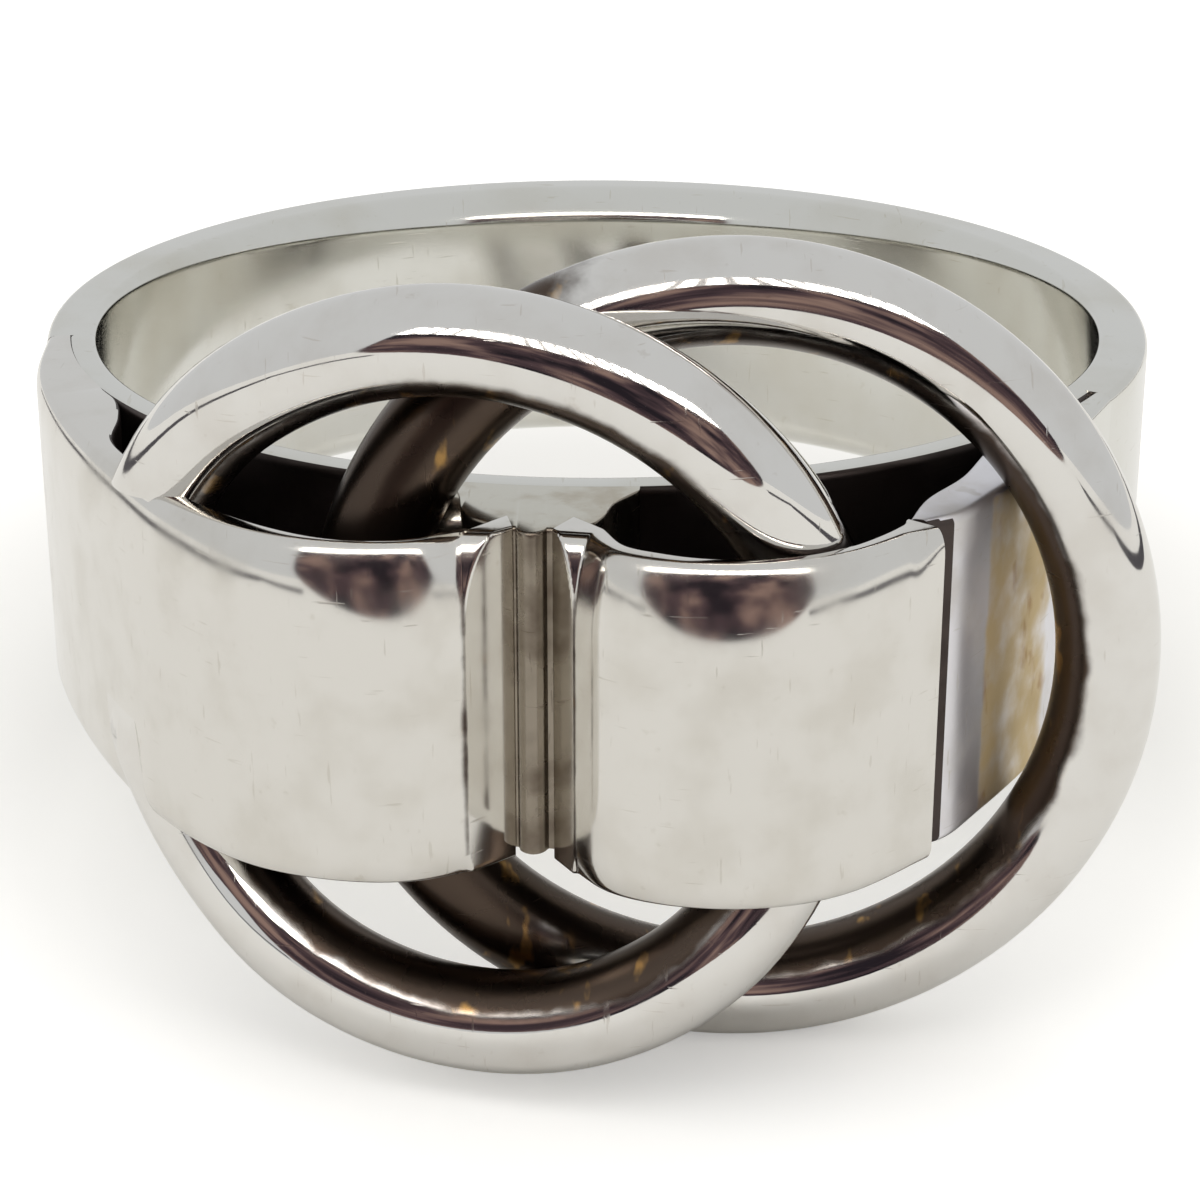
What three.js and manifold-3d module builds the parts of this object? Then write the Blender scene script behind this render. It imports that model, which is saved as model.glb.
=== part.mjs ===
import * as THREE from 'three';
import { mergeVertices } from 'three/addons/utils/BufferGeometryUtils.js';
import Module from 'manifold-3d';

// A silver finger ring. The band's front is a hollow strap with two bulges,
// and two round wire links are held in the hollows behind it.
// Millimetres. +Z runs along the finger, -Y is the front of the ring.

// Driving dimensions
const fingerBore = 17.4;
const bandHeight = 5.2;
const shankWall = 0.85;
const backWall = 1.6;
const linerWall = 0.5;
const strapWall = 0.5;
const wireDiameter = 1.56;
const leftLinkDiameter = 10.46;
const rightLinkDiameter = 11.18;
const leftHollowSlack = 0.68;
const rightHollowSlack = 1.38;
const seamGap = 0.02;
const linkGap = 0.03;

// Edge rounding
const sheetEdge = 0.12;
const rimEdgeInside = 0.12;
const rimEdgeOutside = 0.16;
const backRimEdgeInside = 0.26;
const backRimEdgeOutside = 0.3;
const shankDome = 0.12;
const postTopInset = 0.05;
const postFoot = 0.45;

// Facets
const cornerSteps = 3;
const wireSides = 14;
const linkSteps = 52;
const shankSteps = 54;

// Values that follow from the driving dimensions
const boreRadius = fingerBore / 2;
const linerRadius = boreRadius + linerWall;
const shankRadius = boreRadius + shankWall;
const seatRadius = linerRadius + seamGap;
const wireRadius = wireDiameter / 2;
const halfHeight = bandHeight / 2;
const leftReach = wireDiameter + leftHollowSlack + strapWall;
const rightReach = wireDiameter + rightHollowSlack + strapWall;

// Angles are in degrees around the finger, 0 at the front and positive to +X
const leftShoulder = -81;
const rightShoulder = 60;
const leftTip = -55;
const rightTip = 43;
const fullBack = 172;
const groove = { left: -9.4, floorLeft: -6.8, floorRight: -3.4, right: -1.6 };
const strapCorner = 24.1;
const postRightSide = 0.8;
const grooveFloorShare = 0.668;

// Where the links lie
const leftLinkX = -0.208 * boreRadius;
const rightLinkX = 0.239 * boreRadius;
const rightBow = 0.11;
const crossingSlant = 1.19;
const facetClear = 0.05;
const postClear = 0.37;
const linerContactX = rightLinkX - Math.sqrt((rightLinkDiameter / 2) ** 2 - halfHeight ** 2);

function polar(angle, radius) {
  const a = THREE.MathUtils.degToRad(angle);
  return new THREE.Vector2(radius * Math.sin(a), -radius * Math.cos(a));
}

// A smooth plan curve through points given as [angle, radius]
function planCurve(points) {
  const spots = points.map(([angle, radius]) => {
    const spot = polar(angle, radius);
    return new THREE.Vector3(spot.x, spot.y, 0);
  });
  const curve = new THREE.CatmullRomCurve3(spots, false, 'centripetal');
  return (t) => curve.getPointAt(t);
}

// Points every few degrees on the liner's face, where a wall is seated on it
function seatPoints(fromAngle, toAngle) {
  const steps = Math.ceil((toAngle - fromAngle) / 2.5);
  return Array.from({ length: steps + 1 }, (_, i) => (
    [fromAngle + ((toAngle - fromAngle) * i) / steps, seatRadius]
  ));
}

// radius is a number, or a function of how far along the arc a point is
function planArc(fromAngle, toAngle, radius) {
  return (t) => {
    const reach = typeof radius === 'function' ? radius(t) : radius;
    const spot = polar(fromAngle + (toAngle - fromAngle) * t, reach);
    return new THREE.Vector3(spot.x, spot.y, 0);
  };
}

// Depth at which a wire at x just clears a plan curve: side -1 is in front of it, 1 behind it
function clearDepth(curve, x, side) {
  const need = wireRadius + linkGap;
  const samples = 400;
  let depth = -Infinity;
  for (let i = 0; i <= samples; i++) {
    const spot = curve(i / samples);
    const across = spot.x - x;
    if (Math.abs(across) >= need) continue;
    depth = Math.max(depth, side * spot.y + Math.sqrt(need * need - across * across));
  }
  return side * depth;
}

// A rounded rectangle across a wall: u runs from 0 inside to 1 outside, v is the height
function wallSection(wall, low, high, roundInside, roundOutside, dome) {
  const section = [];
  const corners = [
    [wall, low, -90, roundOutside],
    [wall, high, 0, roundOutside],
    [0, high, 90, roundInside],
    [0, low, 180, roundInside],
  ];
  corners.forEach(([u, v, start, wanted], index) => {
    const round = Math.min(wanted, wall * 0.45);
    const cu = u === 0 ? round : wall - round;
    const cv = v === low ? low + round : high - round;
    for (let step = 0; step <= cornerSteps; step++) {
      const a = THREE.MathUtils.degToRad(start + (90 * step) / cornerSteps);
      section.push([(cu + round * Math.cos(a)) / wall, cv + round * Math.sin(a)]);
    }
    if (index === 0 && dome !== null) {
      for (const share of [0.25, 0.5, 0.75]) {
        const rise = dome * 4 * share * (1 - share);
        section.push([1 + rise / wall, low + (high - low) * share]);
      }
    }
  });
  return section;
}

// A closed solid through a row of equal-length point loops, capped at both ends
function loftSolid(loops, closed = false) {
  const count = loops[0].length;
  const positions = [];
  const indices = [];
  loops.forEach((loop) => loop.forEach((p) => positions.push(p.x, p.y, p.z)));
  const bands = closed ? loops.length : loops.length - 1;
  for (let i = 0; i < bands; i++) {
    const here = i * count;
    const next = ((i + 1) % loops.length) * count;
    for (let j = 0; j < count; j++) {
      const k = (j + 1) % count;
      indices.push(here + j, here + k, next + k, here + j, next + k, next + j);
    }
  }
  if (!closed) {
    const cap = (start, flip) => {
      for (let j = 1; j < count - 1; j++) {
        if (flip) indices.push(start, start + j + 1, start + j);
        else indices.push(start, start + j, start + j + 1);
      }
    };
    cap(0, true);
    cap((loops.length - 1) * count, false);
  }
  const geometry = new THREE.BufferGeometry();
  geometry.setAttribute('position', new THREE.Float32BufferAttribute(positions, 3));
  geometry.setIndex(indices);
  return turnOutward(geometry);
}

// Faces are reversed when the enclosed volume comes out negative
function turnOutward(geometry) {
  const p = geometry.attributes.position;
  const index = geometry.index.array;
  const [a, b, c] = [new THREE.Vector3(), new THREE.Vector3(), new THREE.Vector3()];
  let volume = 0;
  for (let i = 0; i < index.length; i += 3) {
    a.fromBufferAttribute(p, index[i]);
    b.fromBufferAttribute(p, index[i + 1]);
    c.fromBufferAttribute(p, index[i + 2]);
    volume += a.dot(b.cross(c));
  }
  if (volume < 0) {
    const turned = [];
    for (let i = 0; i < index.length; i += 3) turned.push(index[i], index[i + 2], index[i + 1]);
    geometry.setIndex(turned);
  }
  geometry.computeVertexNormals();
  return geometry;
}

// A wall that stands between an inner and an outer plan curve
function wallSolid(inner, outer, steps, sectionAt) {
  const loops = [];
  for (let i = 0; i <= steps; i++) {
    const t = i / steps;
    const from = inner(t);
    const to = outer(t);
    const wall = from.distanceTo(to);
    loops.push(sectionAt(wall, t).map(([u, v]) => {
      const spot = from.clone().lerp(to, u);
      return new THREE.Vector3(spot.x, spot.y, v);
    }));
  }
  return loftSolid(loops);
}

function sheetSection(wall) {
  return wallSection(wall, -halfHeight, halfHeight, sheetEdge, sheetEdge, null);
}

// Plain back and sides of the band, crisp at the shoulders, softer and thicker at the back
function shankGeometry() {
  const seam = THREE.MathUtils.radToDeg(seamGap / shankRadius);
  const start = rightShoulder + seam;
  const end = 360 + leftShoulder - seam;
  const backShare = (t) => {
    const angle = THREE.MathUtils.lerp(start, end, t);
    return THREE.MathUtils.smoothstep(Math.min(angle, 360 - angle), -leftShoulder, fullBack);
  };
  const outside = (t) => shankRadius + (backWall - shankWall) * backShare(t);
  const section = (wall, t) => {
    const soft = backShare(t);
    const innerEdge = THREE.MathUtils.lerp(rimEdgeInside, backRimEdgeInside, soft);
    const outerEdge = THREE.MathUtils.lerp(rimEdgeOutside, backRimEdgeOutside, soft);
    return wallSection(wall, -halfHeight, halfHeight, innerEdge, outerEdge, shankDome * soft);
  };
  return wallSolid(
    planArc(start, end, boreRadius), planArc(start, end, outside), shankSteps, section,
  );
}

// Thin plate that carries the bore across the front, behind both hollows
function linerGeometry() {
  const inner = planArc(leftShoulder, rightShoulder, boreRadius);
  const outer = planArc(leftShoulder, rightShoulder, linerRadius);
  return wallSolid(inner, outer, 28, sheetSection);
}

// Left half of the strap: leaves the left shoulder and swells over the first hollow
function leftBulgeGeometry() {
  const r = linerRadius;
  const outer = planCurve([
    [leftShoulder, shankRadius], [-70, r + 0.25 * leftReach], [-60.2, r + 0.37 * leftReach],
    [-51.5, r + 0.51 * leftReach], [-43.2, r + 0.69 * leftReach], [-34, r + 0.93 * leftReach],
    [-24.7, r + 1.13 * leftReach], [-18.2, r + 1.17 * leftReach], [-13.7, r + 1.13 * leftReach],
    [groove.left, r + 0.96 * leftReach],
  ]);
  const w = strapWall;
  const inner = planCurve([
    ...seatPoints(leftShoulder, leftTip), [leftTip + 3, r + 0.12 * leftReach],
    [-47, r + 0.52 * leftReach - 0.9 * w], [-41, r + 0.69 * leftReach - w],
    [-33.2, r + 0.92 * leftReach - 1.1 * w], [-24.6, r + 1.1 * leftReach - 1.05 * w],
    [-18.2, r + 1.16 * leftReach - w], [-13.9, r + 1.12 * leftReach - w],
    [groove.left - 0.6, r + 0.96 * leftReach - w],
  ]);
  return wallSolid(inner, outer, 40, sheetSection);
}

// Inner face of the right bulge, which the left link's end lies behind
function rightInnerCurve() {
  const r = linerRadius;
  const w = strapWall;
  return planCurve([
    [groove.right + 2.2, r + 0.62 * rightReach - 0.9 * w], [2, r + 0.83 * rightReach - w],
    [4.2, r + 0.92 * rightReach - w], [6.6, r + 0.99 * rightReach - w],
    [9.4, r + 1.03 * rightReach - w], [12.8, r + 1.04 * rightReach - w],
    [16.6, r + 0.99 * rightReach - w], [19.8, r + 0.9 * rightReach - w],
    [strapCorner - 1.4, r + 0.8 * rightReach - w],
  ]);
}

// Right half of the strap: rises out of the groove and ends at the crisp corner
function rightBulgeGeometry() {
  const r = linerRadius;
  const outer = planCurve([
    [groove.right, r + 0.67 * rightReach], [0.3, r + 0.83 * rightReach],
    [2.9, r + 0.93 * rightReach], [5.9, r + rightReach * 1.0], [9.2, r + 1.04 * rightReach],
    [13.1, r + 1.05 * rightReach], [17.1, r + 1.0 * rightReach], [21, r + 0.9 * rightReach],
    [strapCorner, r + 0.82 * rightReach],
  ]);
  return wallSolid(rightInnerCurve(), outer, 34, sheetSection);
}

// Outer face of the tail plate, which the right link rests on
function tailOuterCurve() {
  const r = linerRadius;
  const seam = THREE.MathUtils.radToDeg(seamGap / linerRadius);
  return planCurve([
    [strapCorner + seam, r + 0.81 * rightReach], [31.6, r + 0.55 * rightReach],
    [38, r + 0.4 * rightReach], [45.6, r + 0.26 * rightReach],
    [53, r + 0.155 * rightReach], [rightShoulder - seam, shankRadius],
  ]);
}

// Straight plate from the corner of the strap back to the right shoulder
function tailPlateGeometry() {
  const r = linerRadius;
  const w = strapWall;
  const seam = THREE.MathUtils.radToDeg(seamGap / linerRadius);
  const inner = planCurve([
    [strapCorner - 1.4 + seam, r + 0.79 * rightReach - w], [26.2, r + 0.6 * rightReach - w],
    [31.8, r + 0.44 * rightReach - w], [37.5, r + 0.26 * rightReach - w],
    ...seatPoints(rightTip, rightShoulder - seam),
  ]);
  return wallSolid(inner, tailOuterCurve(), 24, sheetSection);
}

// A solid standing on a plan outline
function prismSolid(outline, low, high) {
  const bevel = 0.06;
  const shape = new THREE.Shape(outline);
  const geometry = new THREE.ExtrudeGeometry(shape, {
    depth: high - low - 2 * bevel,
    bevelEnabled: true,
    bevelThickness: bevel,
    bevelSize: bevel,
    bevelOffset: -bevel,
    bevelSegments: 1,
  });
  geometry.translate(0, 0, low + bevel);
  return geometry;
}

// Fluted post that joins the two bulges to the liner and forms the groove's ribbed floor
function centrePostGeometry() {
  const back = [];
  const seat = linerRadius + seamGap;
  const leftSide = THREE.MathUtils.radToDeg(Math.asin((linerContactX + wireRadius + postClear) / seat));
  const backSteps = 6;
  for (let i = 0; i <= backSteps; i++) {
    back.push(polar(THREE.MathUtils.lerp(leftSide, postRightSide, i / backSteps), seat));
  }
  const floor = linerRadius + grooveFloorShare * leftReach;
  const gap = seamGap + 0.03;
  const front = [
    [0.2, linerRadius + 0.62 * rightReach - strapWall - 0.5],
    [groove.right - 0.25, linerRadius + 0.62 * rightReach - gap],
    [groove.floorRight + 0.5, floor + 0.2], [groove.floorRight, floor + 0.02],
    [groove.floorRight - 0.9, floor + 0.1], [groove.floorLeft + 0.9, floor + 0.1],
    [groove.floorLeft, floor + 0.02], [groove.floorLeft - 0.5, floor + 0.22],
    [groove.left + 0.3, linerRadius + 0.92 * leftReach - gap],
    [groove.left + 0.1, linerRadius + 0.96 * leftReach - strapWall - 0.1],
    [leftSide + 0.8, linerRadius + 0.8 * leftReach - strapWall - 0.3],
  ].map(([angle, radius]) => polar(angle, radius));
  return prismSolid([...back, ...front], -halfHeight + postFoot, halfHeight - postTopInset);
}

// A round link of wire whose depth follows the finger: depthAt gives y for each x
function linkGeometry(centreX, diameter, oval, tilt, depthAt) {
  const centre = (angle) => {
    const a = (diameter / 2) * (1 + oval) * Math.cos(angle);
    const b = (diameter / 2) * (1 - oval) * Math.sin(angle);
    const x = centreX + a * Math.cos(tilt) - b * Math.sin(tilt);
    return new THREE.Vector3(x, depthAt(x), a * Math.sin(tilt) + b * Math.cos(tilt));
  };
  const loops = [];
  const small = 1e-3;
  for (let i = 0; i < linkSteps; i++) {
    const angle = (2 * Math.PI * i) / linkSteps;
    const spot = centre(angle);
    const along = centre(angle + small).sub(centre(angle - small)).normalize();
    const deep = new THREE.Vector3(0, 1, 0).addScaledVector(along, -along.y).normalize();
    const side = along.clone().cross(deep);
    const loop = [];
    for (let j = 0; j < wireSides; j++) {
      const turn = (2 * Math.PI * j) / wireSides;
      loop.push(spot.clone()
        .addScaledVector(deep, wireRadius * Math.cos(turn))
        .addScaledVector(side, wireRadius * Math.sin(turn)));
    }
    loops.push(loop);
  }
  return loftSolid(loops, true);
}

// How far from a link's middle its wire is at a given height
function linkHalfWidth(diameter, height) {
  return Math.sqrt(Math.max(0, (diameter / 2) ** 2 - height * height));
}

// Depth of the right link: it touches the liner at its left and the tail plate at its right
const tailContactHeight = halfHeight + 0.35 * wireRadius;
const rightTailX = rightLinkX + linkHalfWidth(rightLinkDiameter, tailContactHeight);
const linerFace = planArc(leftShoulder, rightShoulder, linerRadius);
const linerContactY = clearDepth(linerFace, linerContactX, -1) - facetClear;
const tailContactY = clearDepth(tailOuterCurve(), rightTailX, -1) - facetClear;
function rightLinkDepth(x) {
  const share = (x - linerContactX) / (rightTailX - linerContactX);
  const chord = THREE.MathUtils.lerp(linerContactY, tailContactY, share);
  return chord + rightBow * 4 * share * (1 - share);
}

// Depth of the left link: in front of the right link where they cross, bent back at its left,
// and at its right behind the strap's right bulge
const leftDepthCurve = (() => {
  const crossingX = 0.023 * boreRadius;
  const crossing = rightLinkDepth(crossingX) - crossingSlant * (wireDiameter + linkGap);
  const behind = rightInnerCurve();
  const end = leftLinkX + leftLinkDiameter / 2;
  const rimX = leftLinkX + linkHalfWidth(leftLinkDiameter, halfHeight);
  const entryX = leftLinkX + linkHalfWidth(leftLinkDiameter, halfHeight + wireRadius);
  const entryY = Math.max(crossing, clearDepth(behind, entryX, 1) - 0.06);
  const rimY = clearDepth(behind, rimX, 1) + facetClear / 2;
  const endY = clearDepth(behind, end, 1) + facetClear / 2;
  return new THREE.SplineCurve([
    new THREE.Vector2(-1.1 * boreRadius, crossing + 4.6),
    new THREE.Vector2(-0.816 * boreRadius, crossing + 2.8),
    new THREE.Vector2(-0.66 * boreRadius, crossing + 1.85),
    new THREE.Vector2(-0.517 * boreRadius, crossing + 1.2),
    new THREE.Vector2(-0.207 * boreRadius, crossing + 0.42),
    new THREE.Vector2(crossingX, crossing),
    new THREE.Vector2(entryX, entryY),
    new THREE.Vector2(rimX, rimY),
    new THREE.Vector2(end, endY),
    new THREE.Vector2(end + wireRadius, endY + wireRadius),
  ]);
})();
function leftLinkDepth(x) {
  let low = 0;
  let high = 1;
  for (let i = 0; i < 40; i++) {
    const middle = (low + high) / 2;
    if (leftDepthCurve.getPoint(middle).x < x) low = middle;
    else high = middle;
  }
  return leftDepthCurve.getPoint(low).y;
}

const wasm = await Module();
wasm.setup();

function toSolid(geometry) {
  const plain = geometry.clone();
  plain.deleteAttribute('normal');
  plain.deleteAttribute('uv');
  const merged = mergeVertices(plain, 1e-4);
  return new wasm.Manifold(new wasm.Mesh({
    numProp: 3,
    vertProperties: new Float32Array(merged.attributes.position.array),
    triVerts: new Uint32Array(merged.index.array),
  }));
}

function toGeometry(solid) {
  const mesh = solid.getMesh();
  const geometry = new THREE.BufferGeometry();
  geometry.setAttribute('position', new THREE.BufferAttribute(mesh.vertProperties, 3));
  geometry.setIndex(new THREE.BufferAttribute(mesh.triVerts, 1));
  geometry.computeVertexNormals();
  return geometry;
}

// The left link is let into the strap: nothing of it stands in the strap's wall or outside it
function leftLinkGeometry() {
  const whole = linkGeometry(leftLinkX, leftLinkDiameter, -0.018, 0, leftLinkDepth);
  const r = linerRadius;
  const clear = strapWall + linkGap;
  const inside = [
    [leftTip - 8, r + 0.1], [leftTip, r + 0.05], [-47, r + 0.52 * leftReach - 0.9 * clear],
    [-41, r + 0.69 * leftReach - clear], [-33.2, r + 0.92 * leftReach - 1.1 * clear],
    [-24.6, r + 1.1 * leftReach - 1.05 * clear], [-20, r + 1.14 * leftReach - clear],
  ];
  const curve = planCurve(inside);
  const outline = [];
  for (let i = 0; i <= 20; i++) {
    const spot = curve(i / 20);
    outline.push(new THREE.Vector2(spot.x, spot.y));
  }
  outline.push(polar(-20, r + 3 * leftReach), polar(-42, r + 4 * leftReach));
  outline.push(polar(leftTip - 8, r + 3 * leftReach));
  const high = halfHeight + linkGap;
  const cutter = new THREE.ExtrudeGeometry(new THREE.Shape(outline), {
    depth: 2 * high,
    bevelEnabled: false,
  });
  cutter.translate(0, 0, -high);
  return toGeometry(toSolid(whole).subtract(toSolid(cutter)));
}

function rightLinkGeometry() {
  return linkGeometry(rightLinkX, rightLinkDiameter, 0.02, -0.85, rightLinkDepth);
}

const silver = { roughness: 0.12, metalness: 1 };
const ring = new THREE.Group();

function addPiece(name, geometry, color, finish = silver) {
  const material = new THREE.MeshStandardMaterial({ color, ...finish });
  const mesh = new THREE.Mesh(geometry, material);
  mesh.name = name;
  ring.add(mesh);
}

addPiece('shank', shankGeometry(), 0xc9c8c2);
addPiece('liner', linerGeometry(), 0xc4bfb2);
addPiece('left_bulge', leftBulgeGeometry(), 0xd6d1c8);
addPiece('right_bulge', rightBulgeGeometry(), 0xd6d1c8);
addPiece('tail_plate', tailPlateGeometry(), 0xb9ac8e);
addPiece('centre_post', centrePostGeometry(), 0x6f6557, { roughness: 0.35, metalness: 1 });
addPiece('left_link', leftLinkGeometry(), 0xcfcac2);
addPiece('right_link', rightLinkGeometry(), 0xcfcac2);

// The whole ring stands on its links: origin at the middle of the underside
const object = new THREE.Group();
object.add(ring);
const box = new THREE.Box3().setFromObject(ring, true);
const middle = box.getCenter(new THREE.Vector3());
ring.position.set(-middle.x, -middle.y, -box.min.z);

export default object;
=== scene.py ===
import math

import bmesh
import bpy
import numpy as np
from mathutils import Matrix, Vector


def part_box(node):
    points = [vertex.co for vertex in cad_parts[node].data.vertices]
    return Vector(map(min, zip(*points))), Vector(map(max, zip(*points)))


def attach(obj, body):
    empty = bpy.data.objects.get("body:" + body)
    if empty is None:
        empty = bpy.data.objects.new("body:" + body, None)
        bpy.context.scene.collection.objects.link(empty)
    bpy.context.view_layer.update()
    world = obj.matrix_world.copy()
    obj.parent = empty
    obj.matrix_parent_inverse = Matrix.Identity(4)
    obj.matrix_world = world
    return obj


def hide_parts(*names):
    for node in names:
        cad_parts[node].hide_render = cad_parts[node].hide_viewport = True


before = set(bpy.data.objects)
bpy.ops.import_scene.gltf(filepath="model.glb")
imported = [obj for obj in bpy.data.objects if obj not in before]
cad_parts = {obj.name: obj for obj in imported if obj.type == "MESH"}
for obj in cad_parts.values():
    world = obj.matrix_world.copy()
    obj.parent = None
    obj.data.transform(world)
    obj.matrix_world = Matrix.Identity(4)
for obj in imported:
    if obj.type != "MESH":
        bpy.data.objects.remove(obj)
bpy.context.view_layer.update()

mm = 0.001

# the ring's own sizes in millimetres; angles are in degrees, 0 at the front and plus to the right
ring = {
    "boreRadius": 8.7, "linerRadius": 9.2, "bandRadius": 9.55, "halfHeight": 2.6,
    "wireRadius": 0.78, "leftReach": 2.74, "rightReach": 3.44, "wall": 0.5, "seam": 0.02,
    "leftShoulder": -81.0, "rightShoulder": 60.0,
}

# the finger's axis, found from the liner
linerLow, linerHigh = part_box("liner")
axisY = linerLow.y / mm + ring["linerRadius"]
middleZ = (linerLow.z + linerHigh.z) / 2 / mm


def polar(angle, radius):
    a = math.radians(angle)
    return (radius * math.sin(a), -radius * math.cos(a))


# a smooth line through a few points, evenly stepped and lightly faired
def smoothLine(knots, count, fair=0):
    pts = np.array(knots, float)
    pts = np.vstack([2 * pts[0] - pts[1], pts, 2 * pts[-1] - pts[-2]])
    gaps = np.sqrt(np.linalg.norm(np.diff(pts, axis=0), axis=1))
    t = np.concatenate([[0], np.cumsum(gaps)])
    dense = []
    for i in range(1, len(pts) - 2):
        t0, t1, t2, t3 = t[i - 1:i + 3]
        p0, p1, p2, p3 = pts[i - 1:i + 3]
        u = np.linspace(t1, t2, 40, endpoint=False)[:, None]
        a1 = (t1 - u) / (t1 - t0) * p0 + (u - t0) / (t1 - t0) * p1
        a2 = (t2 - u) / (t2 - t1) * p1 + (u - t1) / (t2 - t1) * p2
        a3 = (t3 - u) / (t3 - t2) * p2 + (u - t2) / (t3 - t2) * p3
        b1 = (t2 - u) / (t2 - t0) * a1 + (u - t0) / (t2 - t0) * a2
        b2 = (t3 - u) / (t3 - t1) * a2 + (u - t1) / (t3 - t1) * a3
        dense.append((t2 - u) / (t2 - t1) * b1 + (u - t1) / (t2 - t1) * b2)
    dense = np.vstack(dense + [pts[-2][None, :]])
    run = np.concatenate([[0], np.cumsum(np.linalg.norm(np.diff(dense, axis=0), axis=1))])
    even = np.linspace(0, run[-1], count)
    line = np.column_stack([np.interp(even, run, dense[:, k]) for k in range(2)])
    for _ in range(fair):
        line[1:-1] = 0.5 * line[1:-1] + 0.25 * (line[:-2] + line[2:])
    return line


def planLine(spots, count, fair=0):
    return smoothLine([polar(a, r) for a, r in spots], count, fair)


def arcLine(fromAngle, toAngle, radius, count):
    return np.array([polar(a, radius) for a in np.linspace(fromAngle, toAngle, count)])


def smoothStep(low, high, value):
    s = min(1.0, max(0.0, (value - low) / (high - low)))
    return s * s * (3 - 2 * s)


def onlySelect(obj):
    bpy.ops.object.select_all(action="DESELECT")
    obj.select_set(True)
    bpy.context.view_layer.objects.active = obj


# how far a wall's face draws in near its rim: an oval corner, tall high and deep wide
def rimInset(below, tall, deep):
    if below >= tall:
        return 0.0
    u = (tall - below) / tall
    return deep * (1 - math.sqrt(max(0.0, 1 - u * u)))


# heights of a wall's levels, close together at the rims
def rimLevels(tall, half=ring["halfHeight"], steps=12, flats=5):
    top = [half - tall * (1 - math.sin(math.pi / 2 * k / steps)) for k in range(steps + 1)]
    flat = list(np.linspace(-half + tall, half - tall, flats + 2))[1:-1]
    return [-z for z in reversed(top)] + flat + top


# edges sharper than this stay sharp, in degrees
creaseAngle = {"wall": 38, "cutLink": 40}


# a wall standing on a strip: the strip is laid edge by edge, then raised level by level
def raiseWall(name, inner, outer, levels, shape):
    count = len(inner)
    bpy.ops.object.select_all(action="DESELECT")
    bpy.ops.mesh.primitive_plane_add(size=mm, location=(0, 0, 0))
    wall = bpy.context.object
    wall.name = name
    bpy.ops.object.mode_set(mode="EDIT")
    bpy.ops.mesh.select_mode(type="EDGE")

    def place(column, level):
        drawIn, drawOut = shape(column / (count - 1), levels[level])
        here, there = Vector(inner[column]), Vector(outer[column])
        across = (there - here).normalized()
        near = here + across * drawIn
        far = there - across * drawOut
        z = (middleZ + levels[level]) * mm
        return (
            Vector((near.x * mm, (near.y + axisY) * mm, z)),
            Vector((far.x * mm, (far.y + axisY) * mm, z)),
        )

    mesh = bmesh.from_edit_mesh(wall.data)
    column = mesh.verts.layers.int.new("column")
    side = mesh.verts.layers.int.new("side")
    mesh.verts.ensure_lookup_table()
    loop = [v for v in mesh.faces[:][0].verts]
    for v, (c, s) in zip(loop, [(0, 0), (0, 1), (1, 1), (1, 0)]):
        v[column], v[side] = c, s
        v.co = place(c, 0)[s]
    bmesh.update_edit_mesh(wall.data)
    for c in range(2, count):
        mesh = bmesh.from_edit_mesh(wall.data)
        column = mesh.verts.layers.int["column"]
        side = mesh.verts.layers.int["side"]
        for f in mesh.faces:
            f.select_set(False)
        for e in mesh.edges:
            e.select_set(e.verts[0][column] == c - 1 and e.verts[1][column] == c - 1)
        bpy.ops.mesh.extrude_region_move(TRANSFORM_OT_translate={"value": (0, 0, 0)})
        mesh = bmesh.from_edit_mesh(wall.data)
        column = mesh.verts.layers.int["column"]
        side = mesh.verts.layers.int["side"]
        for v in mesh.verts:
            if v.select:
                v[column] = c
                v.co = place(c, 0)[v[side]]
        bmesh.update_edit_mesh(wall.data)
    bpy.ops.mesh.select_all(action="SELECT")
    for level in range(1, len(levels)):
        rise = (levels[level] - levels[level - 1]) * mm
        bpy.ops.mesh.extrude_region_move(TRANSFORM_OT_translate={"value": (0, 0, rise)})
        mesh = bmesh.from_edit_mesh(wall.data)
        column = mesh.verts.layers.int["column"]
        side = mesh.verts.layers.int["side"]
        for v in mesh.verts:
            if v.select:
                v.co = place(v[column], level)[v[side]]
        bmesh.update_edit_mesh(wall.data)
    bpy.ops.mesh.select_all(action="SELECT")
    bpy.ops.mesh.normals_make_consistent(inside=False)
    bpy.ops.object.mode_set(mode="OBJECT")
    onlySelect(wall)
    bpy.ops.object.shade_smooth_by_angle(angle=math.radians(creaseAngle["wall"]))
    return wall


# how strongly each point is painted towards the piece's deep colour, from its place and normal in the
# ring's own frame: painted shade in creases and on the links' inner sides, with tarnish there too, and a
# real stain on the tail plate
def markStainAndShade(piece, howDeep):
    mesh = piece.data
    values = np.zeros(len(mesh.vertices), np.float32)
    for vertex in mesh.vertices:
        place = Vector((vertex.co.x / mm, vertex.co.y / mm - axisY, vertex.co.z / mm - middleZ))
        values[vertex.index] = min(1.0, max(0.0, howDeep(place, vertex.normal)))
    stainAndShade = mesh.attributes.new("stainAndShade", "FLOAT", "POINT")
    stainAndShade.data.foreach_set("value", values)


def mountPiece(piece, *nodes, slot="polished_silver"):
    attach(piece, "root")
    if nodes:
        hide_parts(*nodes)


def newSocket(group, name, way, kind, value=None):
    socket = group.interface.new_socket(name=name, in_out=way, socket_type=kind)
    if value is not None:
        socket.default_value = value


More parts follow.
